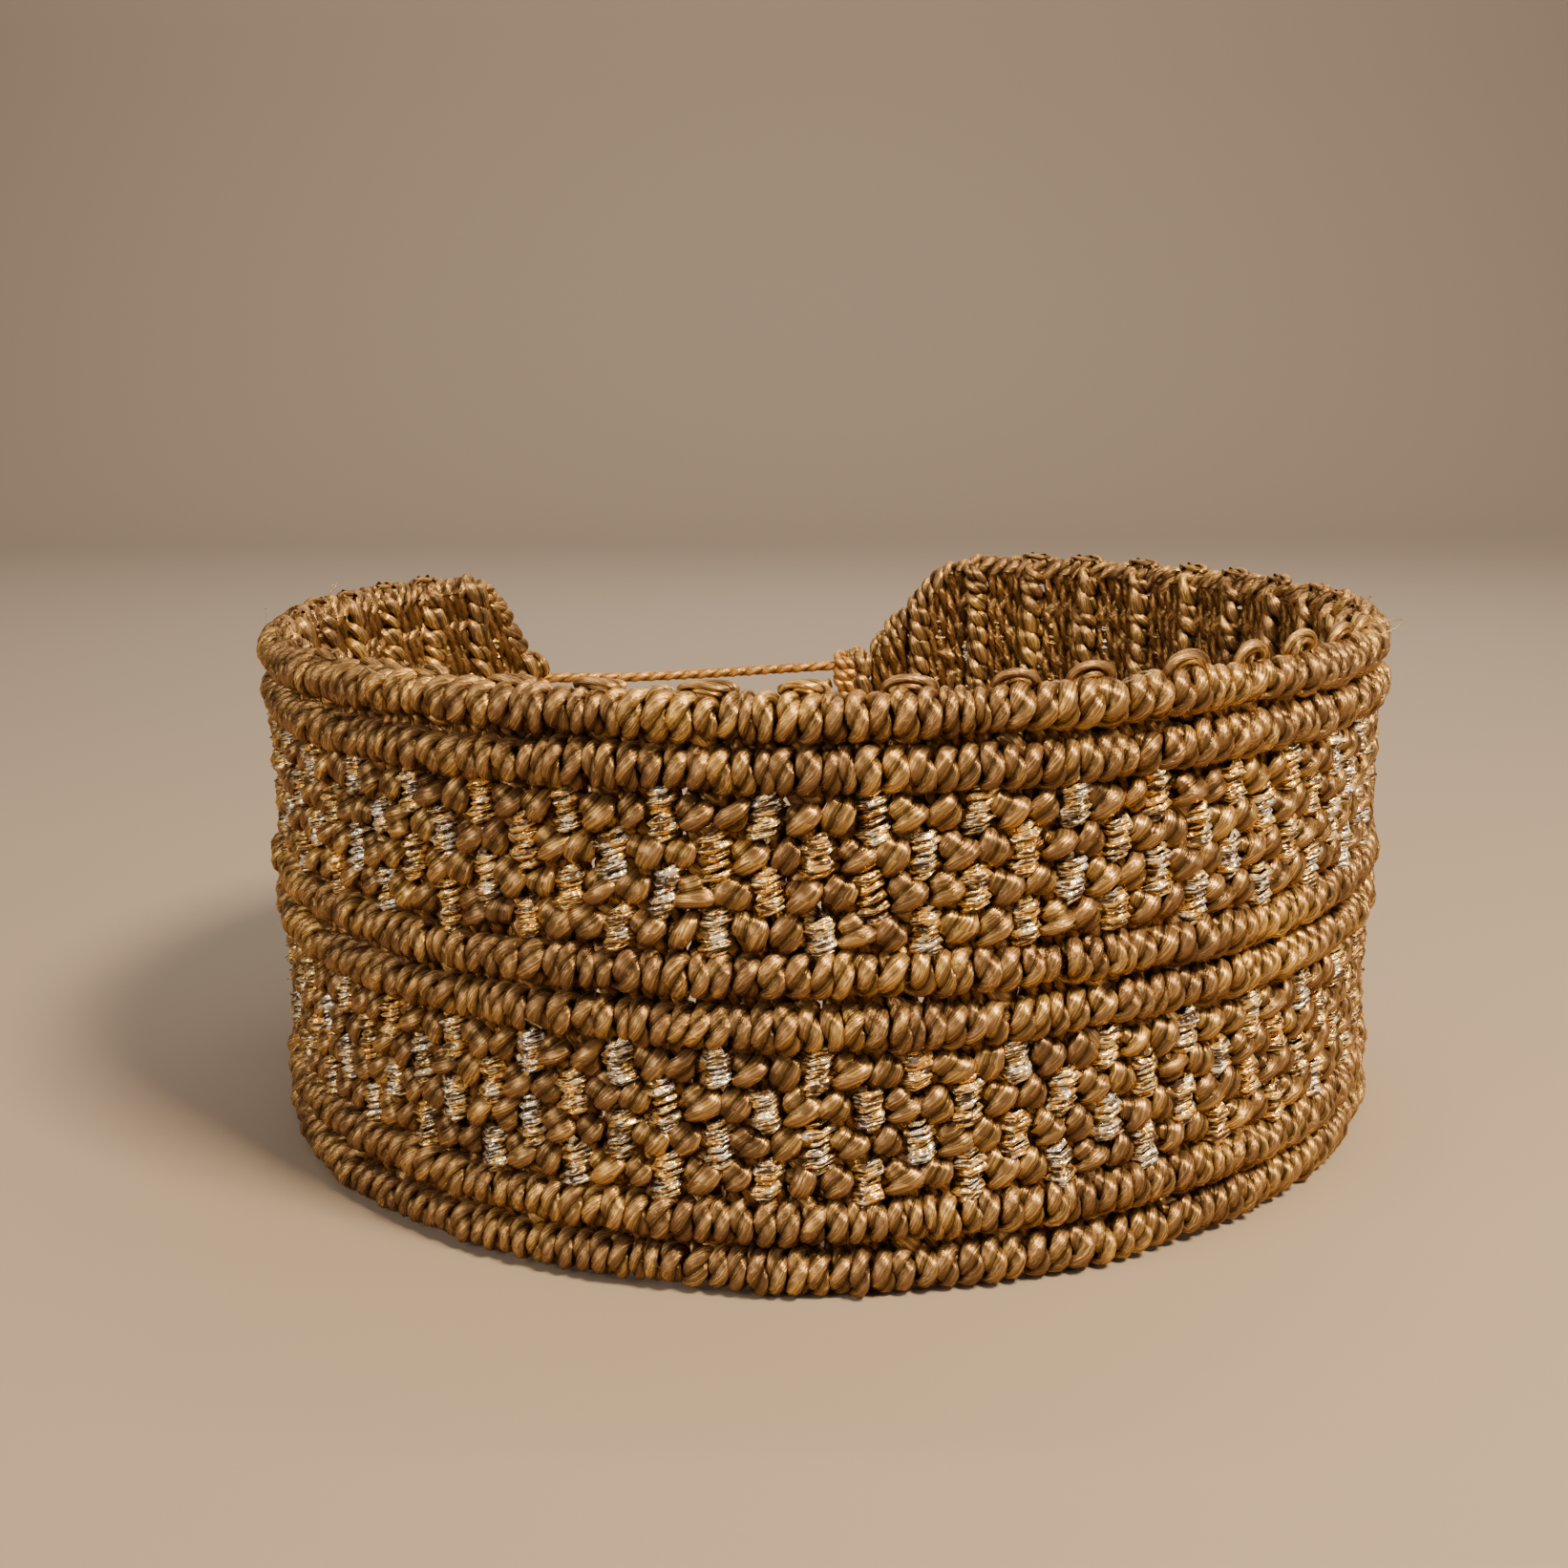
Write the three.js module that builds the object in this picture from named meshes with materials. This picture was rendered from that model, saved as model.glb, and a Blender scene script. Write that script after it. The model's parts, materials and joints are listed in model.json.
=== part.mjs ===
// A knotted cuff bracelet standing on its edge: an open ring of six cord-wrapped ribs and two bands of
// knot rows, drawn together across its gap by two pairs of tie strands that run through sliding knots.
// Millimetres, +Z up. The gap is on +Y, and the ring's lower edge stands on z = 0.
import * as THREE from 'three';

// Ring
const RING_X = 30.2; // half-width of the band's middle line along X
const RING_Y = 29.4; // and along Y
const RING_CENTRE_Y = -0.2;
const RING_MEAN = (RING_X + RING_Y) / 2;
const HALF_GAP = THREE.MathUtils.degToRad(22.65); // from the middle of the gap to each end
const LEVEL_STEPS = 28;

// Ribs: pairs of wrapped cords at the edges and in the middle
const RIB_RADIUS = 1.1;
const RIB_PITCH = 2.33; // between the two ribs of a pair
const PAIR_PITCH = 11.34; // from one pair to the next
const MID_HEIGHT = RIB_RADIUS + RIB_PITCH / 2 + PAIR_PITCH;
const CORE_RADIUS = 0.45; // the cord that a rib's wraps are tied on
const FIT_GAP = 0.3; // between pieces that touch in the real cuff

// Knot rows: brown knots tied over a metallic lead thread
const ROWS_PER_BAND = 4;
const ROW_PITCH = 1.7;
const ROW_HEIGHT = 1.4;
const ROW_THICKNESS = 1.6;
const ROW_SET_IN = 0.3; // how far the rows' middle line lies inside the ribs' middle line
const LEAD_THREAD = 0.4; // side of the lead thread's section

// Ends: the two outer ribs slant inwards, and a bound edge closes the rows between them. A slanting rib's
// tail stands in from the end, at a rise above or below the middle, and the slant's run is its width.
const CORNER_CUT = 2.2; // where the slant starts to round into the level stretch
const CORNER_POINTS = 3;
const SLANT_CLEARANCE = RIB_RADIUS + FIT_GAP + CORNER_CUT / 4; // from the slant to what ends at it
const RIGHT_END = { side: 1, tail: 1.8, run: 6.2, rise: 5.9 };
const LEFT_END = { side: -1, tail: 1.4, run: 2.6, rise: 7.1 };
const BINDING_RADIUS = 0.9;
const BINDING_DROP = 1.4; // from a slanting rib's tail down to the end of the bound edge

// Ties: two strands in each, side by side in height
const TIE_RISE = 4.8; // a tie's middle above or below the band's middle
const STRAND_RADIUS = 0.4;
const STRAND_SPLIT = 0.6; // from the tie's middle to each strand's middle line
const STRAND_STEPS = 26;
const TAIL_TRACK = 32.2; // radius that the tails follow outside the left end
const EYELET = { angle: -23.9, height: 4.1, width: 2.9, length: 0.9, slotHeight: 2.7, slotWidth: 1.5 };
const SLIDER = { from: -25.4, to: -34.4, height: 3.8, width: 2.5, slotHeight: 2.6, slotWidth: 1.4 };
const SLIDER_STEPS = 4;
const STOPPER_RADIUS = 1.1;

const BROWN = { color: 0x8a6236, roughness: 0.55, metalness: 0.0 };
const DARK_BROWN = { color: 0x5e4022, roughness: 0.7, metalness: 0.0 };
const GOLD = { color: 0xd8b468, roughness: 0.3, metalness: 0.9 };
const ORANGE_BROWN = { color: 0xa4702f, roughness: 0.6, metalness: 0.0 };

const cuff = new THREE.Group();

function addPiece(name, geometry, finish) {
  const piece = new THREE.Mesh(geometry, new THREE.MeshStandardMaterial(finish));
  piece.name = name;
  cuff.add(piece);
  return piece;
}

// A line around the ring through stations of angle (from +Y towards +X) and height. Its frames keep the
// section's x pointing out of the ring, so that a flat in the section stays flat all the way round.
class BandLine extends THREE.Curve {
  constructor(stations, offset = 0) {
    super();
    this.offset = offset;
    this.stations = stations;
  }

  outward(angle) {
    return new THREE.Vector3(Math.sin(angle) / RING_X, Math.cos(angle) / RING_Y, 0).normalize();
  }

  place({ angle, z }) {
    const middle = new THREE.Vector3(
      RING_X * Math.sin(angle), RING_CENTRE_Y + RING_Y * Math.cos(angle), z);
    return middle.addScaledVector(this.outward(angle), this.offset);
  }

  getPoint(t, target = new THREE.Vector3()) {
    const along = t * (this.stations.length - 1);
    const before = Math.min(Math.floor(along), this.stations.length - 2);
    const start = this.place(this.stations[before]);
    return target.copy(start).lerp(this.place(this.stations[before + 1]), along - before);
  }

  getSpacedPoints() {
    return this.stations.map((station) => this.place(station));
  }

  computeFrenetFrames() {
    const points = this.getSpacedPoints();
    const last = points.length - 1;
    const tangents = points.map((point, i) =>
      points[Math.min(i + 1, last)].clone().sub(points[Math.max(i - 1, 0)]).normalize());
    const normals = this.stations.map(({ angle }) => this.outward(angle));
    const binormals = tangents.map((tangent, i) => tangent.clone().cross(normals[i]).normalize());
    return { tangents, normals, binormals };
  }
}

// The angle of a point that lies a distance inside one end of the band.
function angleFrom(end, distance) {
  const angle = HALF_GAP + distance / RING_MEAN;
  return end.side > 0 ? angle : 2 * Math.PI - angle;
}

function levelStations(fromAngle, toAngle, z) {
  const count = LEVEL_STEPS + 1;
  return Array.from({ length: count }, (_, i) =>
    ({ angle: THREE.MathUtils.lerp(fromAngle, toAngle, i / LEVEL_STEPS), z }));
}

// The slanting stretch of an outer rib, from its tail to the level stretch, rounded at the corner.
function slantStations(end, rise) {
  const way = Math.sign(rise);
  const tail = new THREE.Vector2(end.tail, way * end.rise);
  const corner = new THREE.Vector2(end.tail + end.run, rise);
  const bendStart = corner.clone().add(tail.clone().sub(corner).setLength(CORNER_CUT));
  const bendEnd = new THREE.Vector2(corner.x + CORNER_CUT, rise);
  const bend = new THREE.QuadraticBezierCurve(bendStart, corner, bendEnd).getPoints(CORNER_POINTS);
  return [tail, ...bend].map(({ x, y }) => ({ angle: angleFrom(end, x), z: MID_HEIGHT + y }));
}

function outerRibStations(rise) {
  const right = slantStations(RIGHT_END, rise);
  const left = slantStations(LEFT_END, rise).reverse();
  const level = levelStations(right.at(-1).angle, left[0].angle, MID_HEIGHT + rise);
  return [...right, ...level.slice(1, -1), ...left];
}

// Where a level piece has to stop at an end to stay clear of the slanting rib or of the bound edge.
function clearOfEnd(end, reach) {
  const slope = Math.atan2(ribRise(0) - end.rise, end.run);
  const overTail = Math.abs(reach) - end.rise;
  if (overTail < -RIB_RADIUS - FIT_GAP) return BINDING_RADIUS + FIT_GAP;
  return end.tail + Math.max(overTail, 0) / Math.tan(slope) + SLANT_CLEARANCE / Math.sin(slope);
}

function levelLine(rise, halfHeight, offset) {
  const reach = rise + Math.sign(rise) * halfHeight;
  const stations = levelStations(
    angleFrom(RIGHT_END, clearOfEnd(RIGHT_END, reach)),
    angleFrom(LEFT_END, clearOfEnd(LEFT_END, reach)), MID_HEIGHT + rise);
  return new BandLine(stations, offset);
}

// Heights of the six ribs above the band's middle, from the top one down.
function ribRise(index) {
  const pair = 1 - Math.floor(index / 2);
  const inPair = index % 2 === 0 ? 0.5 : -0.5;
  return pair * PAIR_PITCH + inPair * RIB_PITCH;
}

function polygon(radius, sides) {
  const corner = radius / Math.cos(Math.PI / sides);
  return Array.from({ length: sides }, (_, i) => {
    const turn = (2 * i + 1) * Math.PI / sides;
    return new THREE.Vector2(corner * Math.cos(turn), corner * Math.sin(turn));
  });
}

function rectangle(width, height) {
  return [[-1, -1], [1, -1], [1, 1], [-1, 1]].map(([x, y]) =>
    new THREE.Vector2(x * width / 2, y * height / 2));
}

// A rectangle with its corners cut off, as a tied knot's section is.
function knotOutline(width, height, cut) {
  const [x, y] = [width / 2, height / 2];
  return [
    [x - cut, -y], [x, -y + cut], [x, y - cut], [x - cut, y],
    [-x + cut, y], [-x, y - cut], [-x, -y + cut], [-x + cut, -y],
  ].map(([px, py]) => new THREE.Vector2(px, py));
}

function sweep(line, outline, bore, steps) {
  const section = new THREE.Shape(outline);
  if (bore) section.holes.push(new THREE.Path(bore));
  return new THREE.ExtrudeGeometry(section, { extrudePath: line, steps, curveSegments: 1 });
}

function sweepBand(line, outline, bore) {
  return sweep(line, outline, bore, line.stations.length - 1);
}

function addRibs() {
  for (let index = 0; index < 6; index += 1) {
    const rise = ribRise(index);
    const outer = index === 0 || index === 5;
    const line = outer ? new BandLine(outerRibStations(rise)) : levelLine(rise, RIB_RADIUS, 0);
    const bore = polygon(CORE_RADIUS + FIT_GAP, 4);
    addPiece(`rib_${index + 1}_wraps`, sweepBand(line, polygon(RIB_RADIUS, 8), bore), BROWN);
    addPiece(`rib_${index + 1}_core`, sweepBand(line, polygon(CORE_RADIUS, 4)), DARK_BROWN);
  }
}

function addKnotRows() {
  const rowSection = rectangle(ROW_THICKNESS, ROW_HEIGHT);
  const threadRoom = rectangle(LEAD_THREAD + FIT_GAP, LEAD_THREAD + FIT_GAP);
  for (const [band, way] of [['upper', 1], ['lower', -1]]) {
    for (let row = 0; row < ROWS_PER_BAND; row += 1) {
      const fromMiddle = ((ROWS_PER_BAND - 1) / 2 - row) * ROW_PITCH;
      const line = levelLine(way * PAIR_PITCH / 2 + fromMiddle, ROW_HEIGHT / 2, -ROW_SET_IN);
      const name = `${band}_row_${row + 1}`;
      addPiece(`${name}_knots`, sweepBand(line, rowSection, threadRoom), BROWN);
      addPiece(`${name}_metallic_thread`, sweepBand(line, rectangle(LEAD_THREAD, LEAD_THREAD)), GOLD);
    }
  }
}

function addBoundEdges() {
  for (const [name, end] of [['right', RIGHT_END], ['left', LEFT_END]]) {
    const height = 2 * (end.rise - BINDING_DROP);
    const bar = new THREE.CylinderGeometry(BINDING_RADIUS, BINDING_RADIUS, height, 8);
    const piece = addPiece(`${name}_end_binding`, bar, BROWN);
    const line = new BandLine([{ angle: angleFrom(end, 0), z: MID_HEIGHT }], -ROW_SET_IN);
    piece.position.copy(line.getSpacedPoints()[0]);
    piece.rotation.x = Math.PI / 2;
  }
}

// A point at an angle in degrees from +Y and a distance from the ring's upright axis.
function around(angle, radius, z) {
  const turn = THREE.MathUtils.degToRad(angle);
  return new THREE.Vector3(radius * Math.sin(turn), RING_CENTRE_Y + radius * Math.cos(turn), z);
}

// An arc about the ring's upright axis, for what lies along the outside of the left end.
class TrackArc extends THREE.Curve {
  constructor(from, to, z) {
    super();
    Object.assign(this, { from, to, z });
  }

  getPoint(t) {
    return around(THREE.MathUtils.lerp(this.from, this.to, t), TAIL_TRACK, this.z);
  }

  computeFrenetFrames(steps) {
    const angles = Array.from({ length: steps + 1 }, (_, i) =>
      THREE.MathUtils.lerp(this.from, this.to, i / steps));
    const normals = angles.map((angle) => around(angle, 1, 0).setY(Math.cos(
      THREE.MathUtils.degToRad(angle))).normalize());
    const binormals = angles.map(() => new THREE.Vector3(0, 0, -1));
    const tangents = normals.map((normal, i) => normal.clone().cross(binormals[i]));
    return { tangents, normals, binormals };
  }
}

// The strands' routes: across the gap from the right end, then through the eyelet and the sliding knot,
// and along the outside of the left end to a stopper knot. Heights are above the tie's middle.
const TAIL_ANGLES = [-25, -30, -35, -40, -45, -49];
const STRANDS = {
  upper_taut: {
    tie: 1,
    split: STRAND_SPLIT,
    gap: [[12.2, 26.7, 0.6], [6.5, 27.4, 0.5], [0.5, 28.0, 0.4], [-5.5, 28.7, 0.4], [-10.5, 29.5, 0.55]],
    droop: [[-53, 32.3, 0.45], [-56.5, 32.4, -0.1]],
    stopper: [-58.9, 32.6, -0.6],
  },
  upper_slack: {
    tie: 1,
    split: -STRAND_SPLIT,
    gap: [[10.4, 27.4, -0.8], [6.5, 27.7, -2.0], [0.5, 28.2, -2.7], [-5.5, 28.8, -2.1], [-10.5, 29.5, -0.9]],
    droop: [[-51.5, 32.3, -0.95], [-53.6, 32.4, -1.7]],
    stopper: [-55.6, 32.7, -2.6],
  },
  lower_taut: {
    tie: -1,
    split: STRAND_SPLIT,
    gap: [[10.4, 27.4, 0.9], [6.0, 27.7, 0.6], [0.5, 28.1, 0.4], [-5.5, 28.7, 0.4], [-10.5, 29.5, 0.55]],
    droop: [[-53, 32.3, 0.45], [-56.5, 32.4, -0.1]],
    stopper: [-58.9, 32.6, -0.6],
  },
  lower_slack: {
    tie: -1,
    split: -STRAND_SPLIT,
    gap: [[12.2, 26.7, -0.6], [6.5, 27.5, -2.0], [0.5, 28.2, -2.8], [-5.5, 28.8, -2.2], [-10.5, 29.5, -0.9]],
    droop: [[-51.5, 32.3, -0.95], [-53.6, 32.4, -1.7]],
    stopper: [-55.6, 32.7, -2.6],
  },
};

function addStrands() {
  for (const [name, { tie, split, gap, droop, stopper }] of Object.entries(STRANDS)) {
    const middle = MID_HEIGHT + tie * TIE_RISE;
    const route = [
      ...gap.map(([x, y, rise]) => new THREE.Vector3(x, y, middle + rise)),
      ...TAIL_ANGLES.map((angle) => around(angle, TAIL_TRACK, middle + split)),
      ...droop.map(([angle, radius, rise]) => around(angle, radius, middle + rise)),
    ];
    const line = new THREE.CatmullRomCurve3(route, false, 'centripetal');
    addPiece(`${name}_strand`, sweep(line, polygon(STRAND_RADIUS, 8), null, STRAND_STEPS), ORANGE_BROWN);
    const knot = addPiece(`${name}_stopper_knot`, new THREE.IcosahedronGeometry(STOPPER_RADIUS, 1), BROWN);
    knot.position.copy(around(stopper[0], stopper[1], middle + stopper[2]));
  }
}

function addClosure() {
  for (const [name, way] of [['upper', 1], ['lower', -1]]) {
    const z = MID_HEIGHT + way * TIE_RISE;
    const eyeletReach = THREE.MathUtils.radToDeg(EYELET.length / TAIL_TRACK) / 2;
    const eyeletLine = new TrackArc(EYELET.angle + eyeletReach, EYELET.angle - eyeletReach, z);
    const eyeletOutline = knotOutline(EYELET.width, EYELET.height, RIB_RADIUS / 2);
    const eyeletSlot = rectangle(EYELET.slotWidth, EYELET.slotHeight);
    addPiece(`${name}_eyelet`, sweep(eyeletLine, eyeletOutline, eyeletSlot, 1), BROWN);
    const sliderLine = new TrackArc(SLIDER.from, SLIDER.to, z);
    const sliderOutline = knotOutline(SLIDER.width, SLIDER.height, RIB_RADIUS / 2);
    const sliderSlot = rectangle(SLIDER.slotWidth, SLIDER.slotHeight);
    addPiece(`${name}_sliding_knot`, sweep(sliderLine, sliderOutline, sliderSlot, SLIDER_STEPS), BROWN);
  }
}

addRibs();
addKnotRows();
addBoundEdges();
addStrands();
addClosure();

export default cuff;
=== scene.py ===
"""A knotted cuff bracelet of brown twisted cord and metallic thread, standing on its edge.

Every part of the band is shaped flat first, in band coordinates (w, out, z) in millimetres: w runs to the
right along the band as it is seen from outside, out is the distance from the band's middle surface away from
the wrist, and z is the height. wrap_round() then bends the flat band round the ring.
"""
import json
import math

import bpy
import numpy as np
from mathutils import Matrix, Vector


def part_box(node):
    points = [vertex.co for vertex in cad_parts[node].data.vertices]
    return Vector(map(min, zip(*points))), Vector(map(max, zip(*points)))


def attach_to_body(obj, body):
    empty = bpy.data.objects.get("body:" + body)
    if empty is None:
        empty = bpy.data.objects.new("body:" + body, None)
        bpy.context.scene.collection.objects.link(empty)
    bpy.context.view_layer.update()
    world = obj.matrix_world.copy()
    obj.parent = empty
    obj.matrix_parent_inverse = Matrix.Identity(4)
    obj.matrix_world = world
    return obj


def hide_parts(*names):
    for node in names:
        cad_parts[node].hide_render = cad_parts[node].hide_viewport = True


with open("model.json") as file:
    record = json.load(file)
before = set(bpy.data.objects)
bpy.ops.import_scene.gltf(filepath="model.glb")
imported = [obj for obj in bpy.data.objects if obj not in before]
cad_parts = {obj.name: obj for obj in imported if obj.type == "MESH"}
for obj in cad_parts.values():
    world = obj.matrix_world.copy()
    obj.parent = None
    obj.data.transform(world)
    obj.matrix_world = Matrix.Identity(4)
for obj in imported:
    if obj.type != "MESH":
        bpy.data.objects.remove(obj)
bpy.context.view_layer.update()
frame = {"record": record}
MM = 0.001


def box_mm(node):
    """A node's lowest and highest corners in millimetres."""
    low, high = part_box(node)
    return np.array(low) / MM, np.array(high) / MM


def middle_z(node):
    low, high = box_mm(node)
    return (low[2] + high[2]) / 2


# The ring, from the frame: its centre line is an ellipse about the upright axis that the knots slide round
JOINT = frame["record"]["behaviour"]["joints"][0]
AXIS = np.array(JOINT["pos_m"][:2]) / MM
RIB_LOW, RIB_HIGH = box_mm("rib_3_wraps")
RIB_RADIUS = (RIB_HIGH[2] - RIB_LOW[2]) / 2
RING_X = RIB_HIGH[0] - RIB_RADIUS
RING_Y = AXIS[1] - RIB_RADIUS - RIB_LOW[1]
RING_MEAN = (RING_X + RING_Y) / 2
HALF_GAP = math.radians(22.65)
BAND_LENGTH = (2 * math.pi - 2 * HALF_GAP) * RING_MEAN
RIB_Z = [middle_z(f"rib_{i}_wraps") for i in range(1, 7)]
TOP_Z = float(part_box("rib_1_wraps")[1][2]) / MM
RIB_Z[0] = TOP_Z - RIB_RADIUS
RIB_Z[5] = RIB_RADIUS
MID_Z = (RIB_Z[0] + RIB_Z[5]) / 2

# Ends: how much of each side a rounded corner takes up, how far the outer ribs' tails stand in from each end,
# how wide their slants run, how high the tails stand above and below the middle, how far level pieces stay
# clear of a slant and of the bound edge, and how much nearer the middle than the tails the bound edge stops
CORNER_CUT = 2.2
LEFT_END = {"tail": 1.4, "run": 2.6, "rise": 7.1}
RIGHT_END = {"tail": 1.8, "run": 6.2, "rise": 5.9}
END_CLEARANCE = 1.0
BOUND_EDGE = 1.1
BINDING_DROP = 1.4
BINDING_RADIUS = 0.95
TIE_ROOT_RADIUS = 1.2

# The knots at a corner: how far along each stands, and its half height
CORNER_KNOTS = ((-0.35, 1.1), (0.4, 1.25), (1.1, 1.15))

# How far the ends' windings and the brown knots lie towards the wrist from the band's middle surface
WINDING_SET_IN = 0.3
KNOT_SET_IN = 0.06

# Below this height, cord is pressed flat on the floor
SETTLE = 0.3

CORE_RADIUS = 0.5
FIBRE_RADIUS = 0.028
FIBRE_COUNT = 18

# Cord and pattern: a wrap's width along the rib, its lean and its half thickness, its half width as a share
# of the pitch, the length in which two plies turn once about each other, and the steps of the pattern along
# and across the band
WRAP_PITCH = 0.93
WRAP_SLANT = -0.17
WRAP_THICK = 0.44
WRAP_FILL = 0.57
PLY_PERIOD = 2.7
PATTERN_STEP = 4.37
ROW_PITCH = middle_z("upper_row_1_knots") - middle_z("upper_row_2_knots")
SEED = 20

# Ties, as in the frame: angles in degrees from +Y towards +X about the ring's axis, heights above the
# middle of each tie. Across the gap a strand's points are (x, y, height), and beyond it they are (angle,
# radius, height).
TAIL_TRACK = 32.2
TIE_Z = {band: middle_z(f"{band}_sliding_knot") for band in ("upper", "lower")}
STRAND_RADIUS = 0.4
STRAND_PLY_PERIOD = 2.4
STRAND_SPLIT = 0.6
TAIL_ANGLES = [-25, -30, -35, -40, -45, -49]
DROOP = {
    "taut": [(-53, 32.3, 0.45), (-56.5, 32.4, -0.1)],
    "slack": [(-51.5, 32.3, -0.95), (-53.6, 32.4, -1.7)],
}
STOPPER = {"taut": (-58.9, 32.6, -0.6), "slack": (-55.6, 32.7, -2.6)}
ACROSS_GAP = {
    ("upper", "taut"): [(12.2, 26.7, 0.6), (6.5, 27.4, 0.5), (0.5, 28.0, 0.4), (-5.5, 28.7, 0.4),
                        (-10.5, 29.5, 0.55)],
    ("upper", "slack"): [(10.4, 27.4, -0.8), (6.5, 27.7, -2.0), (0.5, 28.2, -2.7), (-5.5, 28.8, -2.1),
                         (-10.5, 29.5, -0.9)],
    ("lower", "taut"): [(10.4, 27.4, 0.9), (6.0, 27.7, 0.6), (0.5, 28.1, 0.4), (-5.5, 28.7, 0.4),
                        (-10.5, 29.5, 0.55)],
    ("lower", "slack"): [(12.2, 26.7, -0.6), (6.5, 27.5, -2.0), (0.5, 28.2, -2.8), (-5.5, 28.8, -2.2),
                         (-10.5, 29.5, -0.9)],
}
EYELET = {"angle": -23.9, "height": 4.1, "width": 2.9}
SLIDER = {"from": -25.4, "to": -34.4, "height": 3.8, "width": 2.5}

rng = np.random.default_rng(SEED)


def jitter(spread):
    """A random change, mostly within the spread either way."""
    return spread * rng.standard_normal()


# ---------------------------------------------------------------- shapes

def wrap_round(flat):
    """Band coordinates (w, out, z) to the row frame, in mm: the angle from +Y falls with w, the middle
    surface is the ellipse, and out is measured along the ellipse's normal. Cord that would sink into the
    floor is pressed flat on it: below SETTLE the height becomes SETTLE * exp(z / SETTLE - 1)."""
    angle = 2 * math.pi - HALF_GAP - flat[..., 0] / RING_MEAN
    sin, cos = np.sin(angle), np.cos(angle)
    normal = np.stack([sin / RING_X, cos / RING_Y], -1)
    normal /= np.linalg.norm(normal, axis=-1, keepdims=True)
    x = RING_X * sin + normal[..., 0] * flat[..., 1]
    y = AXIS[1] + RING_Y * cos + normal[..., 1] * flat[..., 1]
    z = flat[..., 2]
    z = np.where(z < SETTLE, SETTLE * np.exp(np.minimum(z, SETTLE) / SETTLE - 1), z)
    return np.stack([x, y, z], -1)


def unit(vectors):
    return vectors / np.maximum(np.linalg.norm(vectors, axis=-1, keepdims=True), 1e-9)


def grid_piece(name, grids, closed, material, lengths=None, lots=None):
    """One mesh of tube grids. grids is (count, along, around, 3) in mm in the row frame; each grid closes
    round its section, and along its length too when closed is true, else it is capped. The UV map's u is
    the given length at each step, or else the length along the tube in mm, and v is the share of the way
    round. lots gives each step a random number for its shade, or else each tube gets one."""
    count, along, around, _ = grids.shape
    base = (np.arange(count) * along * around)[:, None, None]
    i = np.arange(along if closed else along - 1)[None, :, None]
    k = np.arange(around)[None, None, :]
    i_next, k_next = (i + 1) % along, (k + 1) % around
    quads = np.stack([base + i * around + k, base + i_next * around + k,
                      base + i_next * around + k_next, base + i * around + k_next], -1).reshape(-1, 4)
    if lengths is None:
        steps = np.linalg.norm(np.diff(grids.mean(2), axis=1), axis=-1)
        lengths = np.concatenate([np.zeros((count, 1)), np.cumsum(steps, 1)], 1)
    last = lengths[:, -1:] + (lengths[:, -1:] - lengths[:, -2:-1])
    lengths_next = np.concatenate([lengths[:, 1:], last], 1)[:, : i.shape[1]]
    u0 = np.repeat(lengths[:, : i.shape[1], None], around, 2)
    u1 = np.repeat(lengths_next[:, :, None], around, 2)
    v0 = np.broadcast_to(k / around, u0.shape)
    v1 = np.broadcast_to((k + 1) / around, u0.shape)
    uv = np.stack([np.stack([u0, v0], -1), np.stack([u1, v0], -1),
                   np.stack([u1, v1], -1), np.stack([u0, v1], -1)], -2).reshape(-1, 4, 2)
    verts = grids.reshape(-1, 3)
    a, b, c, d = (verts[quads[:, n]] for n in range(4))
    volume = (np.cross(b, c) * a).sum() + (np.cross(c, d) * a).sum()
    caps = np.zeros((0, around), int)
    if not closed:
        ring = np.arange(around)
        caps = np.concatenate([base[:, :, 0] + ring[::-1], base[:, :, 0] + (along - 1) * around + ring])
    if volume < 0:
        quads, uv, caps = quads[:, ::-1], uv[:, ::-1], caps[:, ::-1]
    corners = np.concatenate([quads.ravel(), caps.ravel()])
    totals = np.concatenate([np.full(len(quads), 4), np.full(len(caps), around)])
    mesh = bpy.data.meshes.new(name)
    mesh.vertices.add(len(verts))
    mesh.vertices.foreach_set("co", (verts * MM).astype(np.float32).ravel())
    mesh.loops.add(len(corners))
    mesh.loops.foreach_set("vertex_index", corners.astype(np.int32))
    mesh.polygons.add(len(totals))
    mesh.polygons.foreach_set("loop_start", np.concatenate([[0], np.cumsum(totals)[:-1]]).astype(np.int32))
    mesh.polygons.foreach_set("use_smooth", np.ones(len(totals), bool))
    layer = mesh.uv_layers.new(name="cord")
    flat_uv = np.concatenate([uv.reshape(-1, 2), np.zeros((caps.size, 2))])
    layer.data.foreach_set("uv", flat_uv.astype(np.float32).ravel())
    if lots is None:
        lots = rng.random((count, 1))
    lot = mesh.attributes.new("lot", "FLOAT", "POINT")
    per_vertex = np.broadcast_to(lots[..., None], (count, along, around)).ravel()
    lot.data.foreach_set("value", per_vertex.astype(np.float32))
    mesh.update(calc_edges=True)
    mesh.materials.append(material)
    piece = bpy.data.objects.new(name, mesh)
    bpy.context.scene.collection.objects.link(piece)
    return piece


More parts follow.
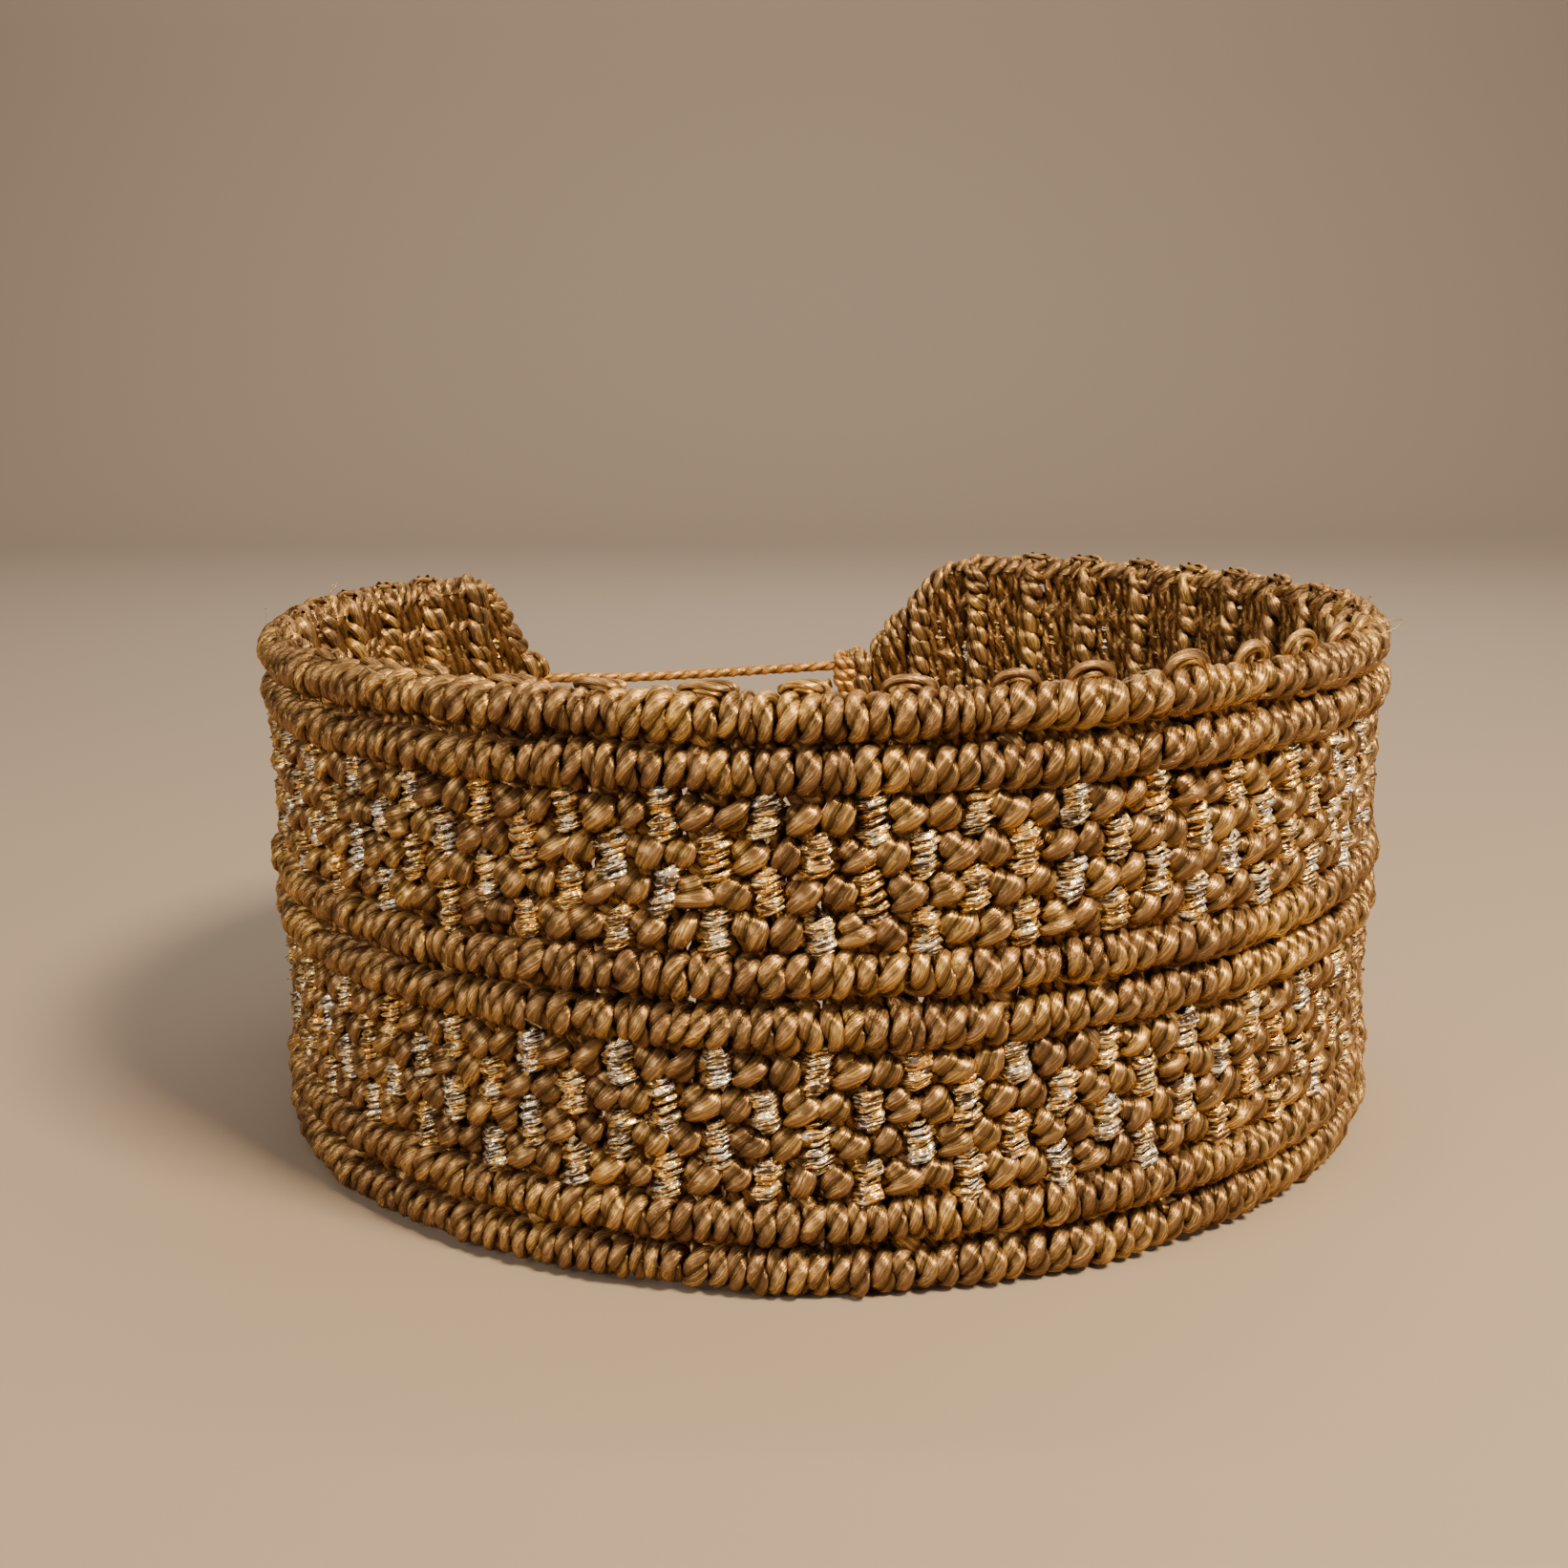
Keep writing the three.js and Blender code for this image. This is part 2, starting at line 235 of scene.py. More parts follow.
class Run:
    """A line on the flat band: points (w, z) joined by straight stretches, measured by its length."""

    STEP = 0.1

    def __init__(self, points):
        points = np.array(points, float)
        gaps = np.linalg.norm(np.diff(points, axis=0), axis=1)
        marks = np.concatenate([[0], np.cumsum(gaps)])
        self.length = marks[-1]
        self.marks = np.linspace(0, self.length, max(int(self.length / self.STEP), 2))
        self.points = np.stack([np.interp(self.marks, marks, points[:, n]) for n in (0, 1)], 1)
        self.along = unit(np.gradient(self.points, axis=0))

    def lay(self, local):
        """(length along, out, across) to band coordinates: across is to the left of the way along."""
        t = local[..., 0]
        inside = np.clip(t, 0, self.length)
        beyond = t - inside
        place = [np.interp(inside, self.marks, self.points[:, n]) for n in (0, 1)]
        way = [np.interp(inside, self.marks, self.along[:, n]) for n in (0, 1)]
        w = place[0] + way[0] * beyond - way[1] * local[..., 2]
        z = place[1] + way[1] * beyond + way[0] * local[..., 2]
        return np.stack([w, local[..., 1], z], -1)


def rounded_corner(start, corner, finish):
    """Points of a parabola that is tangent to both sides of a corner."""
    t = np.linspace(0, 1, 9)[:, None]
    start, corner, finish = map(np.array, (start, corner, finish))
    return (1 - t) ** 2 * start + 2 * t * (1 - t) * corner + t ** 2 * finish


def edge_run(way):
    """The outer rib's line: up the left slant, along the edge and down the right slant. way is 1 for the top
    rib and -1 for the bottom one."""
    level = MID_Z + way * (RIB_Z[0] - MID_Z)
    points = []
    for end, place in ((LEFT_END, lambda d: d), (RIGHT_END, lambda d: BAND_LENGTH - d)):
        tail = np.array([end["tail"], MID_Z + way * end["rise"]])
        corner = np.array([end["tail"] + end["run"], level])
        back = corner + unit(tail - corner) * CORNER_CUT
        ahead = corner + [CORNER_CUT, 0]
        side = [tail, *rounded_corner(back, corner, ahead)]
        side = [(place(w), z) for w, z in side]
        points += side if end is LEFT_END else side[::-1]
    return Run(points)


def clear_of_end(end, z):
    """How far from an end a level piece at height z has to stop, to meet the slanting rib there."""
    over = abs(z - MID_Z) - end["rise"]
    if over < -END_CLEARANCE:
        return BOUND_EDGE
    slope = (RIB_Z[0] - MID_Z - end["rise"]) / end["run"]
    return end["tail"] + max(over, 0) / slope + END_CLEARANCE / math.sin(math.atan(slope))


def edge_rise(w):
    """How high the outer ribs stand above and below the band's middle, at w along it."""
    full = RIB_Z[0] - MID_Z
    rises = [LEFT_END["rise"], LEFT_END["rise"], full, full, RIGHT_END["rise"], RIGHT_END["rise"]]
    marks = [0, LEFT_END["tail"], LEFT_END["tail"] + LEFT_END["run"],
             BAND_LENGTH - RIGHT_END["tail"] - RIGHT_END["run"], BAND_LENGTH - RIGHT_END["tail"], BAND_LENGTH]
    return float(np.interp(w, marks, rises))


def path_length(points):
    """Length along a line of points from its start, on the last axis but one."""
    steps = np.linalg.norm(np.diff(points, axis=-2), axis=-1)
    return np.concatenate([np.zeros((*steps.shape[:-1], 1)), np.cumsum(steps, -1)], -1)


def ply_section(middles, radial, side, ply_turn, thick, wide, around, apart):
    """A two-ply cord's skin. The section is the outline of two round plies side by side, whose centres are
    apart from the middle: its radius is apart * |cos| + sqrt(ply radius^2 - (apart * sin)^2). It turns by
    ply_turn along the cord. thick is the half size along radial and wide the half size along side."""
    lobe = 2 * math.pi * (np.arange(around) / around + 0.25)
    size = apart * np.abs(np.cos(lobe)) + np.sqrt((1 - apart) ** 2 - (apart * np.sin(lobe)) ** 2)
    turn = ply_turn[..., None] + lobe
    out = (size * np.cos(turn))[..., None] * radial[..., None, :] * np.asarray(thick)[..., None, None]
    along = (size * np.sin(turn))[..., None] * side[..., None, :] * np.asarray(wide)[..., None, None]
    return middles[..., None, :] + out + along


def eased(spread, at, turns):
    """Random values, one for each turn of a winding, eased from one turn to the next."""
    return np.interp(at, np.arange(turns + 2), spread * rng.standard_normal(turns + 2))


def wound_cord(name, run, radius, material, pitch=WRAP_PITCH, offset=0.0, inner_depth=0.6, sway=0.08,
               per_turn=16, around=12):
    """One two-ply cord wound round a run from end to end: a helix about the run, moved along it by
    WRAP_SLANT * sin(turn), so that the turns stand nearly upright on the outside and lean on the inside.
    There the helix is also flatter, by the factor inner_depth. Turns differ a little in width, fullness and
    lean, and the whole winding sways by the sum of two sines."""
    turns = int(run.length / pitch)
    at = np.linspace(0, turns, turns * per_turn + 1)
    theta = 2 * math.pi * at
    widths = np.clip(1 + 0.18 * rng.standard_normal(turns + 2), 0.68, 1.4)
    places = np.concatenate([[0], np.cumsum(widths)])
    places = places / places[turns] * run.length
    share = np.interp(at, np.arange(turns + 2) + 0.5, widths)
    t = np.interp(at, np.arange(len(places)), places)
    lean = WRAP_SLANT + eased(0.1, at, turns)
    thick = WRAP_THICK * (1 + eased(0.08, at, turns))
    wide = WRAP_FILL * pitch * share * (1 + eased(0.05, at, turns))
    bulge = radius - WRAP_THICK + eased(0.07, at, turns)
    swing = sway * (np.sin(t / 5.3 + rng.random() * 6) + 0.5 * np.sin(t / 2.1 + rng.random() * 6))
    depth = np.where(np.cos(theta) > 0, 1.0, inner_depth)
    middles = np.stack([t + lean * np.sin(theta), offset + depth * bulge * np.cos(theta),
                        swing + bulge * np.sin(theta)], -1)
    radial = np.stack([np.zeros_like(t), np.cos(theta), np.sin(theta)], -1)
    side = unit(np.cross(radial, unit(np.gradient(middles, axis=0))))
    side *= np.sign(side[:, :1].mean())
    path = path_length(middles)
    ply_turn = 2 * math.pi * path / PLY_PERIOD + eased(1.2, at, turns)
    skin = ply_section(middles, radial, side, ply_turn, thick, wide, around, apart=0.28)
    lots = np.interp(at, np.arange(turns + 2), rng.random(turns + 2))
    return grid_piece(name, wrap_round(run.lay(skin))[None], False, material, path[None], lots[None])


def laid_cords(name, runs, radius, material, offset=0.0, ripple=0.0):
    """Two-ply cords that lie along runs, at a distance offset from the band's middle surface, with a ripple:
    in every two rows, a sine swings them once from side to side and another one twice in and out."""
    step = 0.45
    ply_period = 3.2 * radius / 0.45
    steps = max(int(max(run.length for run in runs) / step), 8)
    skins = []
    for run in runs:
        t = np.linspace(0, run.length, steps)
        swing = 2 * math.pi * t / (2 * ROW_PITCH) + rng.random() * 0.8
        middles = np.stack([t, offset + ripple * np.cos(2 * swing), ripple * np.sin(swing)], -1)
        out = np.broadcast_to([0, 1.0, 0], middles.shape)
        across = np.broadcast_to([0, 0, 1.0], middles.shape)
        ply_turn = 2 * math.pi * t / ply_period + rng.random() * 6
        size = radius * (1 + 0.12 * np.cos(2 * swing))
        skin = ply_section(middles, out, across, ply_turn, size, size, around=8, apart=0.25)
        skins.append(wrap_round(run.lay(skin)))
    return grid_piece(name, np.stack(skins), False, material)


def knot_loops(name, places, material, thick=0.46):
    """Knots of brown cord, each a fat loop of two plies round the row's lead cord. places holds, for each
    knot, (w, z, lean, half width, half height, half depth, ply turn, twist): the loop's middle line is an
    ellipse in height and depth that leans to the right as it rises, and the plies turn by twice the twist
    from below to above. The loop is fullest in front, and narrower above and below."""
    along, around = 11, 10
    places = np.array(places)
    theta = np.linspace(0, 2 * math.pi, along, endpoint=False)[None, :]
    w, z, lean, wide, tall, deep, ply, twist = (places[:, n, None] for n in range(8))
    middles = np.stack([w + lean * np.sin(theta), (deep - thick) * np.cos(theta) - KNOT_SET_IN,
                        z + (tall - thick) * np.sin(theta)], -1)
    radial = np.stack([np.zeros_like(theta), np.cos(theta), np.sin(theta)], -1)
    radial = np.broadcast_to(radial, middles.shape)
    side = unit(np.cross(radial, unit(np.roll(middles, -1, 1) - np.roll(middles, 1, 1))))
    side = side * np.sign(side[..., :1].mean())
    full = thick * (1 + 0.1 * np.cos(theta - ply))
    width = wide * (0.78 + 0.22 * np.cos(theta) ** 2)
    skin = ply_section(middles, radial, side, ply + twist * np.sin(theta), full, width, around, apart=0.38)
    return grid_piece(name, wrap_round(skin), True, material)


def metal_stacks(name, places, material):
    """Stacks of metallic thread, each one upright helix. places holds, for each stack, (w, z, half height,
    half width, lean). The helix swells into two barrels with a waist between, as 0.84 + 0.16 cos, less a
    fourth power that draws its ends in. The thread's section is a square of uneven, crinkled size."""
    turns, per_turn, around = 6, 6, 4
    places = np.array(places)
    at = np.linspace(0, turns, turns * per_turn + 1)[None, :]
    w, z, tall, wide, lean = (places[:, n, None] for n in range(5))
    theta = 2 * math.pi * at + 6 * rng.random((len(places), 1))
    thread = 0.23 * (1 + 0.18 * rng.standard_normal(theta.shape))
    barrel = 0.84 + 0.16 * np.cos(4 * math.pi * (at / turns - 0.25)) - 0.12 * np.abs(2 * at / turns - 1) ** 4
    rise = (2 * at / turns - 1) * (tall - 0.22)
    middles = np.stack([w + lean * rise + (wide - 0.27) * barrel * np.sin(theta),
                        0.66 * barrel * np.cos(theta) - 0.02,
                        z + rise + 0.12 * np.sin(theta)], -1)
    radial = np.stack([np.sin(theta), np.cos(theta), 0 * theta], -1)
    side = np.broadcast_to([0, 0, 1.0], middles.shape)
    spin = 2 * math.pi * np.arange(around) / around
    crinkle = thread[..., None] * (1 + 0.16 * rng.standard_normal((*theta.shape, around)))
    skin = (middles[..., None, :] + (crinkle * np.cos(spin))[..., None] * radial[..., None, :]
            + (crinkle * np.sin(spin))[..., None] * side[..., None, :])
    return grid_piece(name, wrap_round(skin), False, material, np.repeat(at, len(places), 0) * 3.0)


def picot_loops(name, places, material):
    """The loops that the knotting cords start from, standing along the top edge. places holds, for each,
    (w, half width, height, radius): an arch whose middle line is the upper seven tenths of an ellipse, just
    inside the band's middle surface."""
    places = np.array(places)
    t = np.linspace(-0.2 * math.pi, 1.2 * math.pi, 17)[None, :]
    w, half, height, radius = (places[:, n, None] for n in range(4))
    middles = np.stack([w - half * np.cos(t), -0.25 + 0.1 * np.sin(t) + 0 * w,
                        PICOT_FOOT + height * np.sin(t)], -1)
    radial = np.stack([-np.cos(t) + 0 * w, 0 * t + 0 * w, np.sin(t) + 0 * w], -1)
    side = unit(np.cross(radial, unit(np.gradient(middles, axis=1))))
    size = radius + 0 * t
    ply_turn = 0.9 * t + 0.5 * rng.standard_normal(w.shape)
    skin = ply_section(middles, radial, side, ply_turn, size, 1.2 * size, around=10, apart=0.4)
    return grid_piece(name, wrap_round(skin), False, material)


def stray_fibres(name, places, material):
    """Single filaments that have worked loose. places holds (w, out, z, reach, curl, drift): each leaves
    the band at (w, out, z), drifts along it, curls out and back by a sine, and by another sine rises by
    reach and droops again."""
    places = np.array(places)
    t = np.linspace(0, 1, 12)[None, :]
    w, out, z, reach, curl, drift = (places[:, n, None] for n in range(6))
    along = w + drift * t + curl * np.sin(2.6 * t) * t
    outwards = out + 0.5 * np.sin(3 * t) * curl
    upwards = z + reach * np.sin(2.2 * t)
    middles = wrap_round(np.stack([along, outwards, upwards], -1))
    return tube(name, middles, FIBRE_RADIUS, material, around=4)


def joined(name, pieces):
    """Several meshes as one piece."""
    with bpy.context.temp_override(active_object=pieces[0], selected_editable_objects=pieces):
        bpy.ops.object.join()
    pieces[0].name = name
    pieces[0].data.name = name
    return pieces[0]


def smooth_route(points):
    """A centripetal Catmull-Rom curve through the points: each span is a cubic whose end slopes come from
    its neighbours, spaced by the square roots of their distances."""
    points = np.array(points, float)
    padded = np.concatenate([[2 * points[0] - points[1]], points, [2 * points[-1] - points[-2]]])
    p0, p1, p2, p3 = (padded[n:len(points) - 1 + n, None] for n in range(4))
    d0, d1, d2 = (np.sqrt(np.linalg.norm(b - a, axis=-1, keepdims=True))
                  for a, b in ((p0, p1), (p1, p2), (p2, p3)))
    m1 = d1 * ((p1 - p0) / d0 - (p2 - p0) / (d0 + d1) + (p2 - p1) / d1)
    m2 = d1 * ((p2 - p1) / d1 - (p3 - p1) / (d1 + d2) + (p3 - p2) / d2)
    t = np.linspace(0, 1, 10, endpoint=False)[None, :, None]
    spans = p1 + m1 * t + (3 * (p2 - p1) - 2 * m1 - m2) * t ** 2 + (2 * (p1 - p2) + m1 + m2) * t ** 3
    return np.concatenate([spans.reshape(-1, 3), points[-1:]])


def tube(name, middles, radius, material, around=10, ply_period=None):
    """A cord along points in the row frame, (count, along, 3) in mm: round, or two-ply when a ply period
    is given. The section's side direction stays level."""
    way = unit(np.gradient(middles, axis=-2))
    side = unit(np.cross(np.broadcast_to([0, 0, 1.0], middles.shape), way))
    radial = np.cross(way, side)
    path = path_length(middles)
    ply_turn = 2 * math.pi * path / ply_period if ply_period else 0 * path
    size = radius + 0 * path
    apart = 0.2 if ply_period else 0.0
    skin = ply_section(middles, radial, side, ply_turn, size, size, around, apart)
    return grid_piece(name, skin, False, material, path)


def round_the_tie(name, band, angles, theta, width, height, material, closed=False):
    """Cord laid round both strands of a tie: loops or a coil of the given width and height, whose outline is
    a superellipse, cos^0.75 by sin^0.75. angles say where each point is along the tail's track and theta how
    far round."""
    cord = 0.42
    ply_period = 3.0
    cos, sin = np.cos(theta), np.sin(theta)
    out = (width / 2 - cord) * np.sign(cos) * np.abs(cos) ** 0.75
    rise = (height / 2 - cord) * np.sign(sin) * np.abs(sin) ** 0.75
    turn = np.radians(angles)
    outward = np.stack([np.sin(turn), np.cos(turn), 0 * turn], -1)
    up = np.array([0, 0, 1.0])
    middles = (TAIL_TRACK + out)[..., None] * outward + (TIE_Z[band] + rise)[..., None] * up
    middles[..., :2] += AXIS
    radial = unit(cos[..., None] * outward + sin[..., None] * up)
    step = np.roll(middles, -1, -2) - np.roll(middles, 1, -2) if closed else np.gradient(middles, axis=-2)
    side = unit(np.cross(radial, unit(step)))
    path = path_length(middles)
    size = cord + 0 * path
    ply_turn = 2 * math.pi * path / ply_period
    skin = ply_section(middles, radial, side, ply_turn, size, 1.05 * size, around=10, apart=0.28)
    return grid_piece(name, skin, closed, material, path)


def tied_stopper(name, centre, along, material):
    """An overhand knot pulled tight on a strand's end: a trefoil, whose line is (sin t + 2 sin 2t,
    cos t - 2 cos 2t, -1.6 sin 3t), with its third axis along the strand."""
    t = np.linspace(0, 2 * math.pi, 54, endpoint=False)
    trefoil = [np.sin(t) + 2 * np.sin(2 * t), np.cos(t) - 2 * np.cos(2 * t), -1.6 * np.sin(3 * t)]
    up = np.array([0, 0, 1.0])
    across = unit(np.cross(up, along))
    axes = np.stack([across, np.cross(along, across), along])
    middles = centre + 0.24 * np.stack(trefoil, -1) @ axes
    way = unit(np.roll(middles, -1, 0) - np.roll(middles, 1, 0))
    radial = middles - centre
    radial = unit(radial - (radial * way).sum(-1, keepdims=True) * way)
    path = path_length(middles)
    size = np.full(len(t), STRAND_RADIUS)
    ply_turn = 2 * math.pi * path / path[-1] * 3
    skin = ply_section(middles, radial, np.cross(radial, way), ply_turn, size, size, around=10, apart=0.26)
    return grid_piece(name, skin[None], True, material, path[None])


# ---------------------------------------------------------------- materials

class Nodes:
    """A small writer for a material's node tree."""

    def __init__(self, name):
        self.material = bpy.data.materials.new(name)
        self.material.use_nodes = True
        self.tree = self.material.node_tree
        self.shader = self.tree.nodes["Principled BSDF"]

    def add(self, kind, inputs=None, **settings):
        made = self.tree.nodes.new(kind)
        for key, value in settings.items():
            setattr(made, key, value)
        for key, value in (inputs or {}).items():
            self.plug(made.inputs[key], value)
        return made

    def plug(self, socket, value):
        if isinstance(value, bpy.types.NodeSocket):
            self.tree.links.new(value, socket)
        else:
            socket.default_value = value

    def maths(self, operation, a, b=0.0, c=0.0):
        return self.add("ShaderNodeMath", {0: a, 1: b, 2: c}, operation=operation).outputs[0]

    def ramp(self, factor, stops):
        made = self.add("ShaderNodeValToRGB", {"Fac": factor})
        band = made.color_ramp
        while len(band.elements) < len(stops):
            band.elements.new(0.5)
        for element, (place, colour) in zip(band.elements, stops):
            element.position = place
            element.color = (*colour, 1.0)
        return made.outputs["Color"]

    def mix(self, factor, a, b):
        made = self.add("ShaderNodeMix", data_type="RGBA")
        self.plug(made.inputs["Factor"], factor)
        self.plug(made.inputs[6], a)
        self.plug(made.inputs[7], b)
        return made.outputs[2]

    def noise(self, vector, scale, detail=2.0, rough=0.5):
        made = self.add("ShaderNodeTexNoise", {"Vector": vector, "Scale": scale, "Detail": detail,
                                               "Roughness": rough})
        return made.outputs["Fac"]

    def shade(self, **values):
        for key, value in values.items():
            self.plug(self.shader.inputs[key.replace("_", " ")], value)


# Filaments across a cord's whole skin, as a noise scale, and how much a wrap's lot and the patches along the
# band add to the filaments' own shade
FILAMENTS = 30.0
LOT_SHADE = 0.09
PATCH_SHADE = 0.4


def cord_material(name, deep, mid, light):
    """Silky twisted cord: fine filaments that run along the plies, painted shade that darkens the creases
    between them, and a tone that changes a little from one wrap to the next."""
    nodes = Nodes(name)
    uv = nodes.add("ShaderNodeUVMap", uv_map="cord").outputs["UV"]
    parts = nodes.add("ShaderNodeSeparateXYZ", {"Vector": uv})
    u, v = parts.outputs["X"], parts.outputs["Y"]
    lot = nodes.add("ShaderNodeAttribute", attribute_name="lot").outputs["Fac"]
    place = nodes.add("ShaderNodeTexCoord").outputs["Object"]
    across = nodes.maths("MULTIPLY", v, FILAMENTS)
    fibre_place = nodes.add("ShaderNodeCombineXYZ", {"X": across, "Y": nodes.maths("MULTIPLY", u, 0.7),
                                                 "Z": nodes.maths("MULTIPLY", lot, 30.0)}).outputs[0]
    fibres = nodes.noise(fibre_place, scale=1.0, detail=3.0, rough=0.65)
    crease = nodes.maths("ABSOLUTE", nodes.maths("SINE", nodes.maths("MULTIPLY", v, 2 * math.pi)))
    crease = nodes.maths("POWER", crease, 0.8)
    patches = nodes.noise(place, scale=240.0)
    shade = nodes.maths("MULTIPLY_ADD", lot, LOT_SHADE, nodes.maths("MULTIPLY", patches, PATCH_SHADE))
    shade = nodes.maths("ADD", fibres, nodes.maths("SUBTRACT", shade, (LOT_SHADE + PATCH_SHADE) / 2))
    tone = nodes.ramp(shade, [(0.2, deep), (0.5, mid), (0.8, light)])
    # Painted shade: towards the creases between the plies the colour falls to three tenths of the deep tone.
    colour = nodes.mix(crease, (*[c * 0.3 for c in deep], 1.0), tone)
    height = nodes.maths("MULTIPLY_ADD", crease, 0.8, nodes.maths("MULTIPLY", fibres, 0.6))
    bump = nodes.add("ShaderNodeBump", {"Strength": 0.8, "Distance": 0.00014, "Height": height})
    gloss = nodes.maths("MULTIPLY_ADD", fibres, 0.3, 0.11)
    nodes.shade(Base_Color=colour, Roughness=gloss, Normal=bump.outputs["Normal"])
    nodes.shade(Metallic=0.6, Specular_IOR_Level=1.0, Specular_Tint=(1.0, 0.55, 0.15, 1.0))
    return nodes.material


def metal_material(name):
    """Thread wrapped in crinkled foil: short bright strokes of silver, gold and copper that run along the
    thread, with dark cord between them."""
    nodes = Nodes(name)
    uv = nodes.add("ShaderNodeUVMap", uv_map="cord").outputs["UV"]
    parts = nodes.add("ShaderNodeSeparateXYZ", {"Vector": uv})
    u, v = parts.outputs["X"], parts.outputs["Y"]
    lot = nodes.add("ShaderNodeAttribute", attribute_name="lot").outputs["Fac"]
    place = nodes.add("ShaderNodeTexCoord").outputs["Object"]
    strokes_place = nodes.add("ShaderNodeCombineXYZ", {"X": nodes.maths("MULTIPLY", u, 1.9),
                                                   "Y": nodes.maths("MULTIPLY", v, 8.0),
                                                   "Z": nodes.maths("MULTIPLY", lot, 40.0)}).outputs[0]
    strokes = nodes.noise(strokes_place, scale=1.0, rough=0.6)
    facets = nodes.add("ShaderNodeTexVoronoi", {"Vector": place, "Scale": 5200.0}).outputs["Color"]
    flake = nodes.add("ShaderNodeSeparateColor", {"Color": facets}).outputs["Red"]
    tints = nodes.noise(place, scale=1300.0, detail=1.0)
    hue = nodes.maths("MULTIPLY_ADD", tints, 0.8, nodes.maths("MULTIPLY", lot, 0.2))
    foil = nodes.ramp(hue, [(0.42, (1.0, 0.58, 0.14)), (0.54, (1.0, 0.76, 0.34)), (0.62, (1.0, 0.92, 0.78))])
    copper = nodes.mix(nodes.maths("GREATER_THAN", flake, 0.93), foil, (0.7, 0.28, 0.07, 1.0))
    bright = nodes.ramp(strokes, [(0.46, (0.0, 0.0, 0.0)), (0.52, (1.0, 1.0, 1.0))])
    colour = nodes.mix(bright, (0.045, 0.02, 0.007, 1.0), copper)
    height = nodes.maths("MULTIPLY_ADD", nodes.noise(place, scale=3200.0, detail=0.0), 1.3, strokes)
    bump = nodes.add("ShaderNodeBump", {"Strength": 1.0, "Distance": 0.00013, "Height": height})
    shine = nodes.maths("MULTIPLY", bright, 0.78)
    nodes.shade(Base_Color=colour, Metallic=shine, Normal=bump.outputs["Normal"], Roughness=0.26)
    return nodes.material


BROWN = cord_material("brown_silky_cord", (0.06, 0.031, 0.016), (0.235, 0.133, 0.063), (0.88, 0.53, 0.12))
TIE = cord_material("tie_cord", (0.26, 0.1, 0.02), (0.52, 0.25, 0.07), (0.68, 0.4, 0.15))
# The holding and lead cords are real cords, but their near-black colour is painted shade, so the gaps between
# wraps and knots read dark.
CORE_PAINTED_SHADE = cord_material("painted_shade_core_cord", (0.03, 0.013, 0.004), (0.07, 0.032, 0.01), (0.12, 0.06, 0.02))
# A darker copy of the brown cord for the knotting cords in the valleys between the columns: painted shade.
VALLEY_PAINTED_SHADE = cord_material("painted_shade_valley_cord", (0.06, 0.025, 0.007), (0.15, 0.07, 0.023), (0.3, 0.16, 0.06))
FIBRE = cord_material("loose_filament", (0.5, 0.36, 0.2), (0.62, 0.48, 0.3), (0.75, 0.62, 0.44))
METAL = metal_material("metallic_thread")


# ---------------------------------------------------------------- band

def attach(piece, slot, *nodes, body="root"):
    """A finished piece: the body it rides on, its material slot, which is not used, and the frame's nodes
    that it stands for.
    """
    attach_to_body(piece, body)
    if nodes:
        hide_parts(*nodes)
    return piece


def rib_run(index):
    """The line that a rib follows: the outer two go down the slants, and the inner four stay level."""
    if index in (0, 5):
        return edge_run(1 if index == 0 else -1)
    z = RIB_Z[index]
    reach = z + math.copysign(RIB_RADIUS, z - MID_Z)
    return Run([(clear_of_end(LEFT_END, reach), z), (BAND_LENGTH - clear_of_end(RIGHT_END, reach), z)])


def add_ribs():
    """Six ribs: a holding cord, near black as painted shade, with brown cord wound over it."""
    for index in range(6):
        run = rib_run(index)
        rib = f"rib_{index + 1}"
        attach(wound_cord(f"{rib}_wound_cord", run, RIB_RADIUS + 0.05, BROWN), "brown_cord", f"{rib}_wraps")
        attach(laid_cords(f"{rib}_holding_cord", [run], CORE_RADIUS, CORE_PAINTED_SHADE), "dark_core_cord", f"{rib}_core")


# Within one step of the pattern: where each brown knot lies, its lean, its half width and half height, how
# far its plies are turned at the front, and their twist. The margins are from a row's ends.
KNOT_ROUND = {"at": 1.46, "lean": 0.06, "wide": 0.98, "tall": 0.98, "ply": 0.75, "twist": 1.4}
KNOT_LEANING = {"at": 2.95, "lean": 0.26, "wide": 0.74, "tall": 1.0, "ply": 1.57, "twist": 0.95}
KNOT_HALF_DEPTH = 0.92
METAL_HALF = {"wide": 0.92, "tall": 1.3}
ROW_HALF_HEIGHT = 0.7
KNOT_MARGIN = 0.4
METAL_MARGIN = 0.5

# On the inside, also within one step: the wound column, and the deeper cords beside it
COLUMN_AT = 1.1
COLUMN_RADIUS = 0.95
COLUMN_PITCH = 1.15
COLUMN_SET_IN = 0.62
COLUMN_MARGIN = 0.8
VALLEY_AT = (2.3, 2.95, 3.6, 4.25)
VALLEY_RADIUS = 0.55
VALLEY_SET_IN = 0.36
VALLEY_MARGIN = 0.6

# Along the top edge: the height that the picots stand on, and where along the band they are tallest, and over
# how much of it, as shares of its length
PICOT_FOOT = TOP_Z - 0.05
PICOT_PEAK = 0.57
PICOT_SPREAD = 0.13

# How far each band's pattern is shifted along, as a share of a step
ROW_PHASE = {"upper": -0.1, "lower": 0.36}


